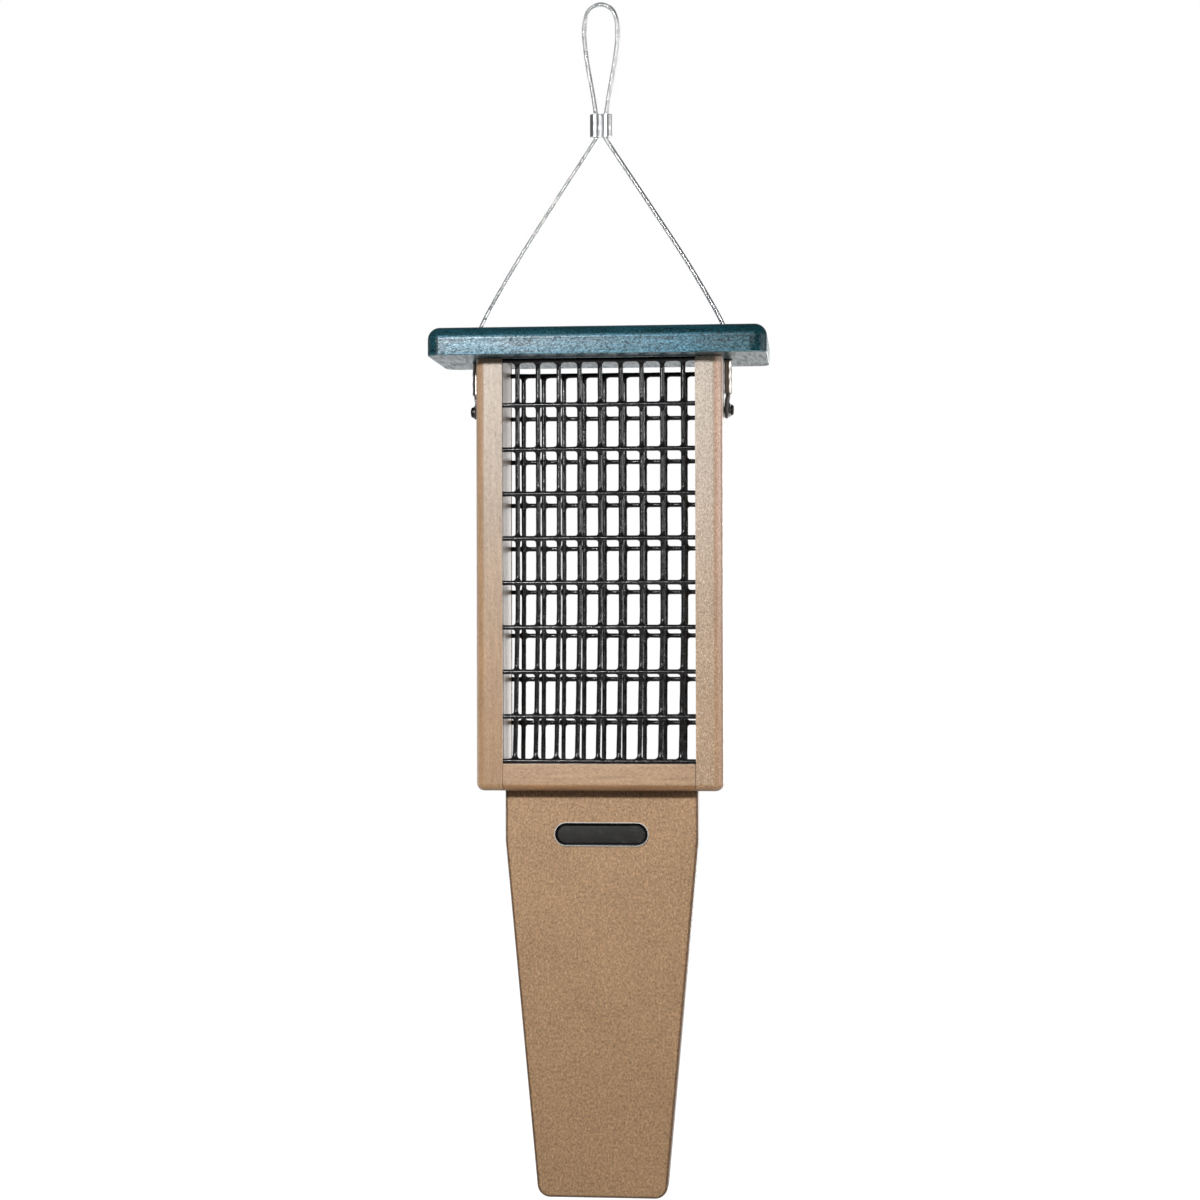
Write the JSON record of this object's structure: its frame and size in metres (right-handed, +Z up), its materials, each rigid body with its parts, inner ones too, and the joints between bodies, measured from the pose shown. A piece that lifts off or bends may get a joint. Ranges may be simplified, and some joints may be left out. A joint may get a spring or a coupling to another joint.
{
  "type": "suet feeder",
  "caption": "Hanging bird feeder that holds stacked suet cakes between two wire panels, with a sliding roof, a cable loop and a long tapered tail prop.",
  "frame": {"origin": "the inner crown of the cable loop, where a hook carries the feeder", "axes": "+Z up along the hanging line, the front with the label plate faces -Y, +X to the right seen from the front"},
  "size_m": [0.206, 0.084, 0.7374],
  "materials": {
    "green_board": "fine speckled grain, dark green",
    "taupe_board": "fine speckled grain, warm taupe",
    "black_vinyl": "glossy dip coat over steel wire",
    "steel_cable": "bright twisted strands",
    "aluminium": "pressed, satin",
    "screw_steel": "satin",
    "label_black": "satin black, bare"
  },
  "bodies": {
    "housing": {"left_side_board": "taupe_board", "right_side_board": "taupe_board", "floor_board": "taupe_board", "tail_board": "taupe_board", "label_plate": "label_black", "front_mesh_panel": "black_vinyl", "rear_mesh_panel": "black_vinyl", "left_side_ferrule": "aluminium", "right_side_ferrule": "aluminium", "left_cable_eye": "steel_cable", "right_cable_eye": "steel_cable", "left_eye_washer": "aluminium", "right_eye_washer": "aluminium", "left_eye_screw": "screw_steel", "right_eye_screw": "screw_steel", "left_front_floor_screw": "screw_steel", "left_rear_floor_screw": "screw_steel", "right_front_floor_screw": "screw_steel", "right_rear_floor_screw": "screw_steel", "left_tail_screw": "screw_steel", "centre_tail_screw": "screw_steel", "right_tail_screw": "screw_steel", "left_lower_cable": "steel_cable", "right_lower_cable": "steel_cable"},
    "roof": {"roof_board": "green_board"},
    "cable_bail": {"left_cable_leg": "steel_cable", "right_cable_leg": "steel_cable"},
    "hanger": {"hanging_loop_cable": "steel_cable", "top_ferrule": "aluminium"}
  },
  "joints": [
    {"name": "roof_slide", "type": "slide", "parent": "housing", "child": "roof", "axis": [0, 0, 1], "range_m": [0, 0.05], "deforming": ["left_lower_cable", "right_lower_cable"]},
    {"name": "cable_swing", "type": "hinge", "parent": "roof", "child": "cable_bail", "pos_m": [0, 0, -0.2023], "axis": [1, 0, 0], "range_deg": [-75, 75], "stiffness_Nm_per_rad": 0.05},
    {"name": "hanger_drop", "type": "slide", "parent": "cable_bail", "child": "hanger", "axis": [0, 0, -1], "range_m": [0, 0.0662], "deforming": ["left_cable_leg", "right_cable_leg"]}
  ],
  "couplings": [
    {"joint": "hanger_drop", "follows": "roof_slide", "ratio": 1.322}
  ]
}
